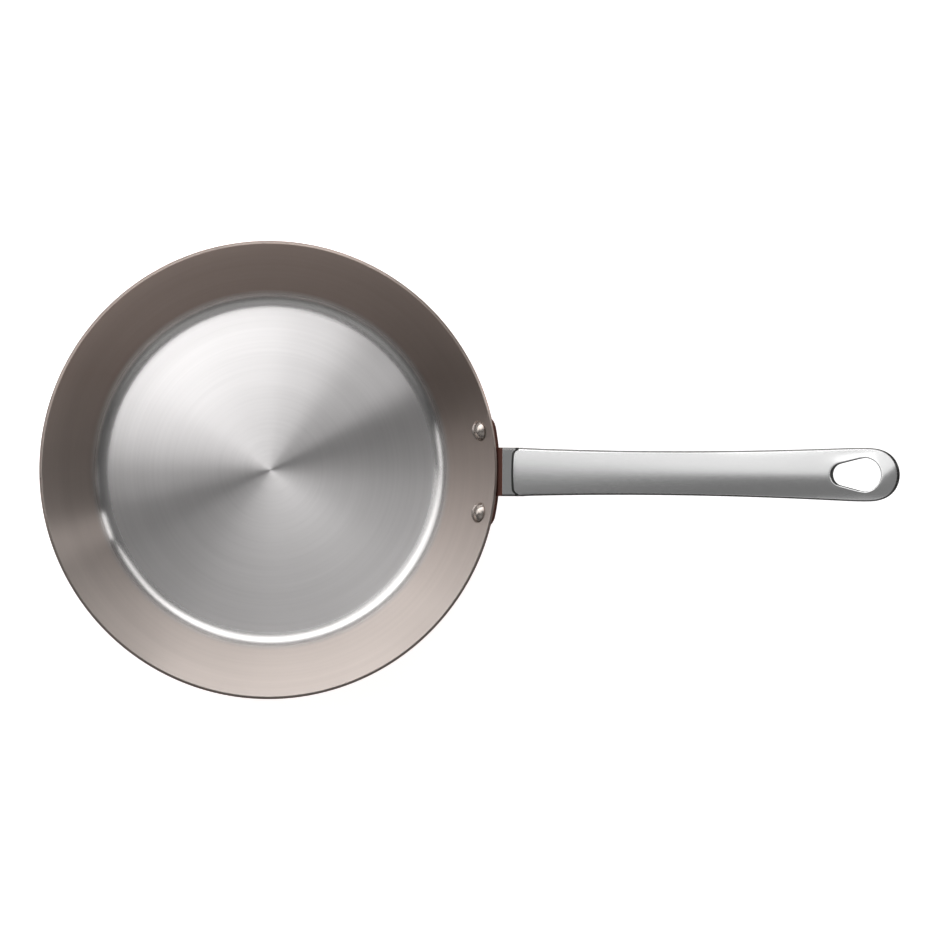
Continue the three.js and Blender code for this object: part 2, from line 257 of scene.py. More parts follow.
# %% Two rivets through the wall
RIVET_SPACING = 44
RIVET_DROP = 10.1
SHANK_RADIUS = 2.5
HEAD_RADIUS = 5.4
HEAD_HEIGHT = 3.7
HEAD_LIP = 0.7
LIP_EDGE = 0.35
TAIL_RADIUS = 4.4
TAIL_HEIGHT = 0.4
TAIL_EDGE = 0.3
FLANGE_THICK = 3.8
FIT = 0.3
RIVET_STEPS = 96
DOME_STEPS = 14
DOME_SHARE = 0.94  # the dome ends just inside the lip's rounding
LIP_STEPS = 5

rivet_ring = on_wall(RIVET_DROP, WALL).x
rivet_angle = RIVET_SPACING / 2 / rivet_ring
rivet_reach = WALL + FIT + FLANGE_THICK


def rivet_line():
    """Half section of a rivet: +Z points into the pan and zero is the cooking surface."""
    rise = HEAD_HEIGHT - HEAD_LIP
    ball = (HEAD_RADIUS**2 + rise**2) / (2 * rise)
    spread = asin(HEAD_RADIUS / ball)
    tail_end = -rivet_reach - TAIL_HEIGHT
    dome = []
    for i in range(1, DOME_STEPS + 1):
        angle = spread * DOME_SHARE * (1 - i / DOME_STEPS)
        height = HEAD_LIP + ball * (cos(angle) - cos(spread))
        dome.append(Vector((ball * sin(angle), height)))
    body = [
        (0, tail_end, 0),
        (TAIL_RADIUS, tail_end, TAIL_EDGE),
        (TAIL_RADIUS, -rivet_reach, 0),
        (SHANK_RADIUS, -rivet_reach, 0),
        (SHANK_RADIUS, 0, 0),
        (HEAD_RADIUS, 0, 0),
        (HEAD_RADIUS, HEAD_LIP, LIP_EDGE),
        (*dome[0], 0),
    ]
    return rounded(body, LIP_STEPS) + dome[1:]


def rivet_place(side):
    angle = side * rivet_angle
    inward = -round_pan(OUT, angle)
    turn = Vector((0, 0, 1)).rotation_difference(inward).to_matrix().to_4x4()
    return Matrix.Translation(round_pan(on_wall(RIVET_DROP, 0), angle)) @ turn


def in_wall(name, side, line, steps, sharp=SHARP):
    """A turned shape in the place of a rivet."""
    verts, faces = turned(line, steps)
    return new_object(name, [rivet_place(side) @ Vector(v) for v in verts], faces, sharp)


left_rivet = in_wall("left_rivet", -1, rivet_line(), RIVET_STEPS, sharp=50)
right_rivet = in_wall("right_rivet", 1, rivet_line(), RIVET_STEPS, sharp=50)
print(f"rivets {2 * degrees(rivet_angle):.1f} degrees apart round the pan")

# %% [markdown]
# ## Handle
# The handle is one steel casting: a curved flange against the wall, a short neck, a step, and a
# long grip with a crowned top and a pear-shaped hole. It could be sculpted, but its reflections
# show every uneven face, so it is built from rings that follow formulas for each view.

# %% Handle in plan and from the side
CREST_REACH = 8.15  # from the rim out to the top of the step, the crest
CREST_RISE = 2.5
CREST_BOW = 0.7  # how far the step's ends lie behind its middle
STEP_CORNER = 2.7
CREST_EDGE = 0.2
STEP_RISE = 2.2
STEP_RUN = 0.8
STEP_FILLET = 0.35
GRIP_LENGTH = 198.6
ROOT_HALF = 12.75
WAIST_HALF = 11.5
WAIST_AT = 72
TAIL_HALF = 13.9
TAIL_ROUND = 18.7
TAIL_FULLNESS = 2.85  # a power; 2 would be an ellipse
TAIL_EASE = 0.1  # how gently the swelling ends
ROOT_SLOPE = tan(radians(18))
TAIL_SLOPE = tan(radians(13))
ROOT_THICK = 10.5
TAIL_THICK = 7
ROOT_CROWN = 0.35
TAIL_CROWN = 1.7
BELLY_POWER = 0.8  # 1 would be half an ellipse

tail_at = GRIP_LENGTH - TAIL_ROUND
rim = on_wall(0, WALL)
crest = Vector((rim.x + CREST_REACH, PAN_HEIGHT + CREST_RISE))


def end_left(along):
    """1 up to the round end, and down to 0 at the tip."""
    return 1 - (max(0, along - tail_at) / TAIL_ROUND) ** TAIL_FULLNESS


def half_width(along):
    if along > tail_at:
        return TAIL_HALF * sqrt(max(0, end_left(along)))
    if along < WAIST_AT:
        return blend(WAIST_HALF, ROOT_HALF, (1 - along / WAIST_AT) ** 2)
    part = (along - WAIST_AT) / (tail_at - WAIST_AT)
    widening = part**2 * (1 + TAIL_EASE - TAIL_EASE * part ** (2 / TAIL_EASE))
    return blend(WAIST_HALF, TAIL_HALF, widening)


def grip_slope(along):
    return blend(ROOT_SLOPE, TAIL_SLOPE, along / GRIP_LENGTH)


def grip_top(along):
    return crest + Vector((along, along * (ROOT_SLOPE + grip_slope(along)) / 2))


def grip_deep(along):
    return Vector((grip_slope(along), -1)).normalized()


def grip_thick(along):
    return blend(ROOT_THICK, TAIL_THICK, along / GRIP_LENGTH)


def grip_crown(along):
    return blend(ROOT_CROWN, TAIL_CROWN, min(1, along / tail_at) ** 2)


print(f"grip {2 * WAIST_HALF:.0f} to {2 * TAIL_HALF:.1f} mm wide")
print(f"its tip is {grip_top(GRIP_LENGTH).y:.0f} mm up")

# %% [markdown]
# ### One ring of the handle
# A ring is the casting's section: a crowned top, two rounded edges and a full belly. The edge
# starts at the slope that the crown has reached there, so that a highlight runs over it without
# a crease, and ends in a much smaller radius on the widest line, where the mould was parted.

# %% Section of the handle
TOP_STEPS = 16  # across the top, and as many across the belly, so that both fit round the hole
EDGE_RADIUS = 1.8
END_EDGE_RADIUS = 3.4
EDGE_TURN = radians(45)
PARTING_RADIUS = 0.1
CORNER_SHARE = 0.98  # the step's corner ends short of its steepest place
TURN_STEPS = 5
PARTING_STEPS = 3
EDGE_STEPS = TURN_STEPS + PARTING_STEPS
EDGE_WIDTH = EDGE_RADIUS * sin(EDGE_TURN)
RING = 2 * TOP_STEPS + 2 * EDGE_STEPS


def edge_arc(half, crown, edge=EDGE_RADIUS):
    """(inset from the side, depth) along the edge, from the top face to the widest line."""
    wide = edge * sin(EDGE_TURN) + PARTING_RADIUS * (1 - sin(EDGE_TURN))
    slope = 0.0
    for _ in range(4):  # slope and flat settle together
        flat = half - wide + edge * sin(slope)
        slope = atan(2 * crown * flat / half**2)
    inset, depth = half - flat, crown * (flat / half) ** 2
    arc = [(inset, depth)]
    for radius, start, end, steps in (
        (edge, slope, EDGE_TURN, TURN_STEPS),
        (PARTING_RADIUS, EDGE_TURN, pi / 2, PARTING_STEPS),
    ):
        for i in range(1, steps + 1):
            turn = blend(start, end, i / steps)
            ahead = radius * (sin(turn) - sin(start))
            arc.append((inset - ahead, depth + radius * (cos(start) - cos(turn))))
        inset, depth = arc[-1]
    return arc


def ring_outline(half, depth, crown):
    """(across, depth) all round, from one end of the top face over the far edge and the belly."""
    arc = edge_arc(half, crown)
    flat, shoulder = half - arc[0][0], arc[-1][1]
    outline = []
    for i in range(TOP_STEPS + 1):
        across = flat * sin(pi / 2 * (1 - 2 * i / TOP_STEPS))
        outline.append((across, crown * (across / half) ** 2))
    outline += [(inset - half, down) for inset, down in arc[1:]]
    for i in range(1, TOP_STEPS):
        angle = pi * i / TOP_STEPS
        belly = (depth - shoulder) * sin(angle) ** BELLY_POWER
        outline.append((-half * cos(angle), shoulder + belly))
    return outline + [(half - inset, down) for inset, down in reversed(arc[1:])]


def step_bow(across, half):
    """How far the step lies behind its middle: bowed, with a rounded corner at each end."""
    corner = max(0, abs(across) - (half - EDGE_WIDTH - STEP_CORNER))
    corner = min(CORNER_SHARE * STEP_CORNER, corner)
    return CREST_BOW * (across / half) ** 2 + STEP_CORNER - sqrt(STEP_CORNER**2 - corner**2)


def ring(top, bottom, half, crown, bow, climb):
    """The outline in space between a point on top and one below, bowed back along a climb."""
    deep = bottom - top
    depth = deep.length
    points = []
    for across, down in ring_outline(half, depth, crown):
        at = top + deep * down / depth
        back = bow * step_bow(across, half) * (1 - down / depth)
        points.append(Vector((at.x + back, across, at.y + back * climb)))
    return points


print("a ring has", RING, "points")

# %% [markdown]
# ### Neck
# The neck comes out of the flange with a rounded front along the wall, runs flat for a few
# millimetres and steps up to the grip. The step bows back at its two ends and runs into the
# grip's edges. Below, a curve runs from the flange's lower edge to the grip's belly, because a
# casting has no inner corner that the metal would flow round badly.

# %% Rings of the neck
FLANGE_LOBE = 6.5
FLANGE_DEEP = 7
FLANGE_EDGE = 0.9
NECK_GAP = 0.6
NECK_ROUND = 2
NECK_RUN = 16
NECK_SHARE = 0.62  # of the underside's curve that lies before the grip
NECK_STEPS = 6
SHOULDER_RINGS = 8

flange_inner = WALL + BOND
flange_outer = WALL + FIT + FLANGE_THICK
flange_top = RIVET_DROP - FLANGE_LOBE
flange_bottom = RIVET_DROP + FLANGE_LOBE + FLANGE_DEEP
neck_flat = crest.y - STEP_RISE
neck_root = on_wall(flange_top, WALL + NECK_GAP)
neck_front = neck_root + UP * (neck_flat - neck_root.y) / UP.y


def underside(share):
    """A curve from the flange's lower edge to the grip's underside."""
    heel = on_wall(flange_bottom - FLANGE_EDGE, WALL + NECK_GAP)
    foot = grip_top(NECK_RUN) + grip_deep(NECK_RUN) * grip_thick(NECK_RUN)
    span = (foot - heel).length / 3
    first = heel + (foot - heel).normalized() * span
    second = foot - Vector((1, grip_slope(NECK_RUN))).normalized() * span
    rest = 1 - share
    return (
        heel * rest**3
        + first * 3 * rest**2 * share
        + second * 3 * rest * share**2
        + foot * share**3
    )


def neck_rings():
    tops = rounded(
        [
            (*neck_root, 0),
            (*neck_front, NECK_ROUND),
            (crest.x - STEP_RUN, neck_flat, STEP_FILLET),
            (*crest, CREST_EDGE),
            (*grip_top(NECK_RUN / SHOULDER_RINGS), 0),
        ],
        NECK_STEPS,
    )
    rings = []
    flat_from = neck_front.x + NECK_ROUND
    for i, top in enumerate(tops):
        share = i / (len(tops) - 1)
        step = limited((top.y - neck_flat) / STEP_RISE)
        reach = limited((top.x - flat_from) / (crest.x - flat_from))
        bottom = underside(NECK_SHARE * share)
        shape = ROOT_HALF, ROOT_CROWN * step, reach, ROOT_SLOPE * step
        rings.append(ring(top, bottom, *shape))
    for i in range(2, SHOULDER_RINGS):
        share = i / SHOULDER_RINGS
        along = NECK_RUN * share
        bottom = underside(blend(NECK_SHARE, 1, share))
        shape = half_width(along), grip_crown(along), 1 - share, grip_slope(along)
        rings.append(ring(grip_top(along), bottom, *shape))
    return rings


print(len(neck_rings()), "rings from the flange to the grip")

# %% [markdown]
# ### Grip and hanging hole
# The grip's rings stop short of the hole. From there the top and the belly are each a net of
# quads between the outline and the hole, so that the hole keeps a clean rounded lip. A Boolean
# cut would leave long thin faces in the most polished place.

# %% Places on the round end and round the hole
HOLE_WIDE = 8.7
HOLE_NARROW = 5.8
HOLE_CENTRES = 11.7
HOLE_TO_TIP = 9.2
HOLE_EDGE = 0.7
PEAR_STEPS = 120
NET_GAP = 7  # from the last ring to the hole
SIDE_STEPS = 10
END_STEPS = 28

wide_at = GRIP_LENGTH - HOLE_TO_TIP - HOLE_WIDE
hole_tilt = atan(grip_slope(wide_at))
hole_middle = wide_at - HOLE_CENTRES / 2 * cos(hole_tilt)
net_at = wide_at - HOLE_CENTRES - HOLE_NARROW - NET_GAP


def end_share(along, across):
    """0 on the middle line of the grip and 1 on its outline, also round the end, squared."""
    left = max(0, end_left(along))
    half = TAIL_HALF if along > tail_at else half_width(along)
    return 1 - left + (across / half) ** 2


def in_grip(along, across, down):
    at = grip_top(along) + grip_deep(along) * down
    return Vector((at.x, across, at.y))


def top_depth(along, across):
    return grip_crown(along) * end_share(along, across)


def tail_arc(along):
    """The edge's arc, whose radius grows round the end."""
    edge = blend(EDGE_RADIUS, END_EDGE_RADIUS, 1 - max(0, end_left(along)))
    return edge_arc(half_width(min(along, tail_at)), grip_crown(along), edge)


def belly_depth(along, across):
    shoulder = tail_arc(along)[-1][1]
    fullness = max(0, 1 - end_share(along, across)) ** (BELLY_POWER / 2)
    return blend(shoulder, grip_thick(along), fullness)


def pear(angle, grow):
    """Distance from the hole's middle to its edge, moved outwards by grow, in a direction."""
    wide, narrow = HOLE_WIDE + grow, HOLE_NARROW + grow
    best = 0.0
    ray = Vector((cos(angle), sin(angle)))
    for i in range(PEAR_STEPS + 1):
        share = i / PEAR_STEPS
        centre = HOLE_CENTRES * (share - 0.5)
        radius = blend(narrow, wide, share)
        off = centre * ray.y
        if abs(off) <= radius:
            best = max(best, centre * ray.x + sqrt(radius**2 - off**2))
    return best


def on_hole(angle, grow):
    """(along, across) of the hole's edge, moved outwards by grow, in a direction."""
    r = pear(angle, grow)
    return hole_middle + r * cos(angle) * cos(hole_tilt), r * sin(angle)


def tail_outline():
    """(along, across, inward direction) from the net's start on one side round to the other."""
    step = (tail_at - net_at) / SIDE_STEPS
    places = [i * step + net_at for i in range(SIDE_STEPS)]
    line = [Vector((along, half_width(along))) for along in places]
    for i in range(END_STEPS + 1):
        turn = pi * (0.5 - i / END_STEPS)
        along = tail_at + TAIL_ROUND * max(0, cos(turn)) ** (2 / TAIL_FULLNESS)
        line.append(Vector((along, TAIL_HALF * sin(turn))))
    line += [Vector((p.x, -p.y)) for p in reversed(line[:SIDE_STEPS])]
    outline = []
    for i, p in enumerate(line):
        run = line[min(i + 1, len(line) - 1)] - line[max(i - 1, 0)]
        outline.append((p.x, p.y, Vector((run.y, -run.x)).normalized()))
    return outline


print(f"the hole's middle is {hole_middle:.1f} mm from the step")

# %% [markdown]
# ### Neck and grip in one skin
# The mould leaves a dark skin, and belts take it off where they reach, so each face also gets the
# number of its finish. The dark skin also stands for painted shade in the step, in the hole and
# next to the wall. Separate pieces could carry them, but the real casting has no seam.

# %% Neck, grip and hole in one skin
GRIP_RINGS = 48
NET_STEPS = 7
SATIN_FACE, SKIN_AND_SHADE, BROKEN_EDGE = 0, 1, 2
FRONT_ROWS = list(range(NECK_STEPS))  # rings of the neck's rounded front
STEP_ROWS = list(range(NECK_STEPS + 2, 3 * NECK_STEPS + 1))  # rings of the step's foot and riser


def ring_finish(row, column):
    """The finish of a face, by its row along the handle and its column round it."""
    belly = TOP_STEPS + EDGE_STEPS <= column < RING - EDGE_STEPS
    # the neck's front and the step get the dark skin, which there is partly painted shade
    if row in FRONT_ROWS + STEP_ROWS and not belly:
        return SKIN_AND_SHADE
    if TOP_STEPS < column < TOP_STEPS + EDGE_STEPS or RING - EDGE_STEPS <= column < RING - 1:
        return BROKEN_EDGE
    return SATIN_FACE


def handle_bar():
    """Vertices, faces and finishes of neck and grip in one closed skin."""
    rings = neck_rings()
    for i in range(GRIP_RINGS + 1):
        along = blend(NECK_RUN, net_at, i / GRIP_RINGS)
        top = grip_top(along)
        bottom = top + grip_deep(along) * grip_thick(along)
        rings.append(ring(top, bottom, half_width(along), grip_crown(along), 0, 0))
    verts, rows = numbered(rings)
    faces = strips(rows)
    finish = [ring_finish(*divmod(f, RING)) for f in range(len(faces))]
    faces.append(rows[0][::-1])
    finish.append(SATIN_FACE)
    last = rows[-1]
    where = {v: (net_at, verts[v].y) for v in last}

    def put(along, across, down):
        where[len(verts)] = (along, across)
        verts.append(in_grip(along, across, down))
        return len(verts) - 1

    # the rounded edge goes on round the outline
    outline = tail_outline()
    edges = []
    for k, (along, across, inward) in enumerate(outline):
        if k == 0:
            edges.append([last[-j % RING] for j in range(EDGE_STEPS + 1)])
        elif k == len(outline) - 1:
            edges.append([last[TOP_STEPS + j] for j in range(EDGE_STEPS + 1)])
        else:
            arc = tail_arc(along)
            edges.append([put(along + inward.x * s, across + inward.y * s, d) for s, d in arc])
    faces += strips(edges, closed=False)
    new_faces = range(len(faces) - len(finish))
    finish += [BROKEN_EDGE if f % EDGE_STEPS else SATIN_FACE for f in new_faces]

    # one net on top and one under the belly, from the outline to the hole
    start_top = [last[TOP_STEPS - i] for i in range(1, TOP_STEPS)]
    start_belly = [last[TOP_STEPS + EDGE_STEPS + i] for i in range(1, TOP_STEPS)]
    lips = []
    for outer, depth_at, sign in (
        ([e[0] for e in edges] + start_top, top_depth, 1),
        ([e[-1] for e in edges] + start_belly, belly_depth, -1),
    ):
        plan = [where[v] for v in outer]
        angles = [atan2(y, (s - hole_middle) / cos(hole_tilt)) for s, y in plan]
        net = [outer]
        for k in range(1, NET_STEPS + 1):
            share = k / NET_STEPS if sign > 0 else 1 - cos(pi / 2 * k / NET_STEPS)
            row = []
            for (s, y), angle in zip(plan, angles):
                edge_s, edge_y = on_hole(angle, HOLE_EDGE)
                along, across = blend(s, edge_s, share), blend(y, edge_y, share)
                row.append(put(along, across, depth_at(along, across)))
            net.append(row)
        for k in range(1, EDGE_STEPS + 1):
            turn = pi / 2 * k / EDGE_STEPS
            row = []
            for angle in angles:
                along, across = on_hole(angle, HOLE_EDGE * (1 - sin(turn)))
                down = depth_at(along, across) + sign * HOLE_EDGE * (1 - cos(turn))
                row.append(put(along, across, down))
            net.append(row)
        # the inner half of the hole's lip and the hole's wall get the dark skin, partly painted
        # shade
        inner_lip = NET_STEPS + EDGE_STEPS // 2
        for skin, part in ((SATIN_FACE, net[: inner_lip + 1]), (SKIN_AND_SHADE, net[inner_lip:])):
            faces.extend(strips(part))
            finish += [skin] * (len(faces) - len(finish))
        lips.append(net[-1])
    faces.extend(strips(lips))
    finish += [SKIN_AND_SHADE] * (len(faces) - len(finish))
    return verts, faces, finish


def set_finish(made, numbers):
    """Three places for finishes, and the number of the one that each face gets."""
    for _ in range(3):
        made.data.materials.append(None)
    made.data.polygons.foreach_set("material_index", numbers)


bar_verts, bar_faces, bar_finish = handle_bar()
bar = new_object("cast_handle", bar_verts, bar_faces)
set_finish(bar, bar_finish)
print("neck and grip have", len(bar_verts), "points and", len(bar_faces), "faces")

# %% [markdown]
# ### Flange
# The flange is a plate that lies on the outside of the wall, with a round lobe at each rivet and
# a deeper middle that carries the neck. A flat plate could be bent with a modifier, but the wall
# is a cone, so each point is placed straight on it by its drop, its offset and its angle.

# %% Flange on the cone
FLANGE_COLUMNS = 72
FLANGE_ROWS = 20
LAST_COLUMN = 0.985  # the outermost column stops just short of the lobe's tip
lobe_at = RIVET_SPACING / 2


def smooth(x):
    x = limited(x)
    return x * x * (3 - 2 * x)


def flange_column(along):
    """One ring of the flange: two corners on the wall and the rounded outer face between."""
    beyond = max(0, abs(along) - lobe_at)
    half = sqrt(max(0, FLANGE_LOBE**2 - beyond**2))
    top = RIVET_DROP - half
    bottom = RIVET_DROP + half + FLANGE_DEEP * smooth(1 - abs(along) / lobe_at)
    column = [(top, flange_inner)]
    for j in range(FLANGE_ROWS + 1):
        drop = (top + bottom) / 2 - (bottom - top) / 2 * cos(pi * j / FLANGE_ROWS)
        inside = min(drop - top, bottom - drop)
        if beyond:
            inside = FLANGE_LOBE - hypot(beyond, drop - RIVET_DROP)
        left = 1 - limited(inside / FLANGE_EDGE)
        column.append((drop, flange_outer - FLANGE_EDGE * (1 - sqrt(1 - left**2))))
    column.append((bottom, flange_inner))
    return [round_pan(on_wall(drop, offset), along / rivet_ring) for drop, offset in column]


def flange_skin():
    reach = lobe_at + FLANGE_LOBE
    columns = []
    for i in range(FLANGE_COLUMNS + 1):
        turn = LAST_COLUMN * pi / 2 * (2 * i / FLANGE_COLUMNS - 1)
        columns.append(flange_column(reach * sin(turn)))
    verts, rows = numbered(columns)
    return verts, strips(rows) + [rows[0][::-1], rows[-1]]


flange = new_object("flange", *flange_skin())
# the flange gets the dark skin, partly painted shade next to the wall
set_finish(flange, [SKIN_AND_SHADE] * len(flange.data.polygons))
print("the flange has", len(flange.data.polygons), "faces")

# %% [markdown]
# ### One casting, pierced for the rivets
# Flange, neck and grip come out of one mould and are drilled together with the wall. Here a
# Boolean is the plain way, because the faces that it leaves lie under the neck and the rivets.

# %% The casting in one
DRILL_STEPS = 48


def face_outwards(made):
    """Turns every face of a closed skin to the outside."""
    mesh = bmesh.new()
    mesh.from_mesh(made.data)
    bmesh.ops.recalc_face_normals(mesh, faces=mesh.faces)
    mesh.to_mesh(made.data)
    mesh.free()


def settle(made):
    """Applies the modifiers of an object."""
    shown = made.evaluated_get(bpy.context.evaluated_depsgraph_get())
    made.data = bpy.data.meshes.new_from_object(shown)
    made.modifiers.clear()
    made.data.shade_smooth()
    made.data.set_sharp_from_angle(angle=radians(SHARP))


def combine(made, other, operation):
    """Joins or cuts one solid with another, which is used up."""
    modifier = made.modifiers.new(operation.lower(), "BOOLEAN")
    modifier.operation = operation
    modifier.solver = "EXACT"
    modifier.object = other
    settle(made)
    bpy.data.objects.remove(other)


def drill(side):
    """A rod as thick as the shank, for the rivet's hole."""
    low, high = -3 * rivet_reach, rivet_reach
    line = [(0, low), (SHANK_RADIUS, low), (SHANK_RADIUS, high), (0, high)]
    return in_wall("drill", side, line, DRILL_STEPS)


face_outwards(bar)
face_outwards(flange)
combine(bar, flange, "UNION")
for side in (-1, 1):
    for pierced in (lining, core, shell, bar):
        combine(pierced, drill(side), "DIFFERENCE")
print("the casting has", len(bar.data.polygons), "faces")

# %% [markdown]
# ## Finishes
# Nearly every finish is bare metal, so its colour is the colour of its reflections, and what tells
# one from another is how it was brushed, ground or polished. A picture of scratches could be laid
# on, but these marks follow the shape: rings round the pan's axis and lines along the handle. So
# each pattern is worked out from the place of a point, which leaves no seam.

# %% Colours and nodes


def linear(colour):
    """An sRGB hex colour as linear numbers."""
    parts = [int(colour[i : i + 2], 16) / 255 for i in (1, 3, 5)]
    return tuple(c / 12.92 if c <= 0.04045 else ((c + 0.055) / 1.055) ** 2.4 for c in parts) + (1,)


def feed(tree, node, inputs):
    """Gives each input of a node a number or a hex colour, or links it to an output."""
    for name, value in inputs.items():
        socket = node.inputs[name]
        if isinstance(value, bpy.types.NodeSocket):
            tree.links.new(value, socket)
        elif isinstance(value, str):
            socket.default_value = linear(value)[: len(socket.default_value)]
        else:
            socket.default_value = value


def add(tree, kind, inputs, **settings):
    """A new node with its inputs and settings."""
    made = tree.nodes.new("ShaderNode" + kind)
    for name, value in settings.items():
        setattr(made, name, value)
    feed(tree, made, inputs)
    return made


def between(tree, value, start, end, low=0, high=1):
    """Turns values from start to end into numbers from low to high."""
    ends = {"From Min": start, "From Max": end, "To Min": low, "To Max": high}
    return add(tree, "MapRange", {"Value": value, **ends}).outputs[0]


def mixed(tree, share, first, second):
    """A colour between two others."""
    return add(tree, "Mix", {0: share, 6: first, 7: second}, data_type="RGBA").outputs[2]


def scaled(tree, vector, by):
    """A colour or a direction times a number."""
    return add(tree, "VectorMath", {0: vector, "Scale": by}, operation="SCALE").outputs["Vector"]


def reckoned(tree, operation, *numbers, **settings):
    """A sum with numbers or outputs."""
    inputs = dict(enumerate(numbers))
    return add(tree, "Math", inputs, operation=operation, **settings).outputs[0]


def finish_of(surface):
    """A material with the shader inputs that a function gives."""
    made = bpy.data.materials.new(surface.__name__)
    made.use_nodes = True
    tree = made.node_tree
    feed(tree, tree.nodes["Principled BSDF"], {"Metallic": 1, **surface(tree)})
    print(made.name, "has", len(tree.nodes), "nodes")
    return made


def coat(made, finish):
    """Gives a whole piece one finish."""
    made.data.materials.clear()
    made.data.materials.append(finish)


print("steel grey is", [round(c, 3) for c in linear("#d3d1cf")])

# %% [markdown]
# ### Marks of the tools
# Noise that is squeezed in one direction looks like scratches. A pad held on a turning pan leaves
# rings, so there the distance from the axis is squeezed and the direction from the axis runs on
# slowly. A belt runs along the handle, so there the two short directions are squeezed.

# %% Rings round the axis and lines along the handle


def point(tree):
    """The place of a point, in metres from the middle of the base."""
    return add(tree, "TexCoord", {}).outputs["Object"]


def part(tree, vector, axis):
    """One of the three numbers of a vector."""
    return add(tree, "SeparateXYZ", {0: vector}).outputs[axis]


def noise(tree, cells, scale, **more):
    """Noise with so many changes in a unit of the cells."""
    return add(tree, "TexNoise", {"Vector": cells, "Scale": scale, **more}).outputs["Fac"]


def from_noise(tree, marks, low, high):
    """Numbers from low to high out of noise, most of which lies between 0.3 and 0.7."""
    return between(tree, marks, 0.3, 0.7, low, high)


def bumped(tree, height, strength, deep, **more):
    """The normal of a surface with marks of some depth in millimetres."""
    depth = {"Height": height, "Strength": strength, "Distance": deep * MM}
    return add(tree, "Bump", {**depth, **more}).outputs[0]


def from_axis(tree):
    """Distance from the pan's axis, and the direction from it as a vector of length one."""
    flat = add(tree, "VectorMath", {0: point(tree), 1: (1, 1, 0)}, operation="MULTIPLY").outputs[0]
    way = add(tree, "VectorMath", {0: flat}, operation="NORMALIZE").outputs["Vector"]
    return add(tree, "VectorMath", {0: flat}, operation="LENGTH").outputs["Value"], way


def ring_marks(tree, pitch, arc, detail):
    """Noise in rings about pitch millimetres apart, which changes arc times in a radian."""
    radius, way = from_axis(tree)
    rings = reckoned(tree, "MULTIPLY", radius, 1 / (pitch * MM))
    turn = scaled(tree, way, arc)
    cells = {0: rings, 1: part(tree, turn, 0), 2: part(tree, turn, 1)}
    return noise(tree, add(tree, "CombineXYZ", cells).outputs[0], 1, Detail=detail)


def long_marks(tree, length, pitch, detail):
    """Noise in lines along X, of a length and a pitch in millimetres."""
    squeeze = (1 / (length * MM), 1 / (pitch * MM), 1 / (pitch * MM))
    cells = add(tree, "VectorMath", {0: point(tree), 1: squeeze}, operation="MULTIPLY").outputs[0]
    return noise(tree, cells, 1, Detail=detail)


print("marks run in rings or in lines")

# %% [markdown]
# ### Brushed steel
# The lining is stainless steel that was brushed with an abrasive pad while the pan turned. Its
# scratches are circles: they spread a reflection across themselves and keep it narrow along
# themselves, which gives the bright fans on the floor. Near the axis the pad hardly moves, so the
# marks are deeper there. The corner was polished, and cooking has warmed the colour of the wall.
# The wall is painted darker towards the far side, and the corner a little darker: painted shade.

# %% Brushed steel of the lining
STEEL = "#d2d0d0"
# a little darker than the floor's steel: painted shade that tones down the corner's highlight
CORNER_STEEL = "#c3c1c0"
WALL_STEEL = "#cec4be"
FAR_SHADED_STEEL = "#9b8d86"
SHADE_FROM, SHADE_TO = -70, 50  # mm across the pan, from the near side to the far side
SCRATCH_PITCH = 1.4  # mm; real ones are finer than 0.05 mm, which would not show
SCRATCH_ARC = 0.8  # changes in a radian, so a scratch runs on for several centimetres
BROAD_PITCH, BROAD_ARC, BROAD_SHARE = 4 * SCRATCH_PITCH, 0.5, 0.4
FLOOR_ROUGH = (0.277, 0.287)
MIDDLE_ROUGH, MIDDLE_REACH = 0.045, 60  # more at the axis, and how far out it fades, in mm
CORNER_ROUGH = 0.19
WALL_ROUGH = 0.42
corner_from, corner_to = FLOOR_RADIUS, FLOOR_RADIUS + CORNER_RADIUS * cos(lean)


def brushed_steel(tree):
    # scratched in circles; polished corner; heat-tinted wall; painted shade on corner and far wall
    radius, _ = from_axis(tree)
    fine = ring_marks(tree, SCRATCH_PITCH, SCRATCH_ARC, 1)
    broad = ring_marks(tree, BROAD_PITCH, BROAD_ARC, 1)
    into = between(tree, radius, (corner_from + 1) * MM, (corner_from + 2.5) * MM)
    out_of = between(tree, radius, (corner_to - 2) * MM, (corner_to + 1) * MM)

    # colour: neutral floor, warmer wall, faint rings, and painted shade on the corner and far wall
    # painted shade: the wall grows darker from the near side to the far side
    far_shade = between(tree, part(tree, point(tree), 1), SHADE_FROM * MM, SHADE_TO * MM)
    wall_colour = mixed(tree, far_shade, WALL_STEEL, FAR_SHADED_STEEL)
    colour = mixed(tree, into, STEEL, CORNER_STEEL)
    colour = mixed(tree, out_of, colour, wall_colour)
    rings = add(tree, "Mix", {0: BROAD_SHARE, 2: fine, 3: broad}).outputs[0]
    colour = scaled(tree, colour, between(tree, rings, 0.25, 0.75, 0.955, 1.03))

    # roughness: more at the axis, least in the polished corner, most on the wall
    rough = from_noise(tree, fine, *FLOOR_ROUGH)
    middle = between(tree, radius, 0, MIDDLE_REACH * MM, MIDDLE_ROUGH, 0)
    rough = reckoned(tree, "ADD", rough, middle)
    rough = add(tree, "Mix", {0: into, 2: rough, 3: CORNER_ROUGH}).outputs[0]
    rough = add(tree, "Mix", {0: out_of, 2: rough, 3: WALL_ROUGH}).outputs[0]
    return {
        "Base Color": colour,
        "Roughness": rough,
        "Tangent": add(tree, "Tangent", {}, direction_type="RADIAL", axis="Z").outputs[0],
        "Anisotropic": 1,
        "Anisotropic Rotation": 0.25,
    }


coat(lining, finish_of(brushed_steel))
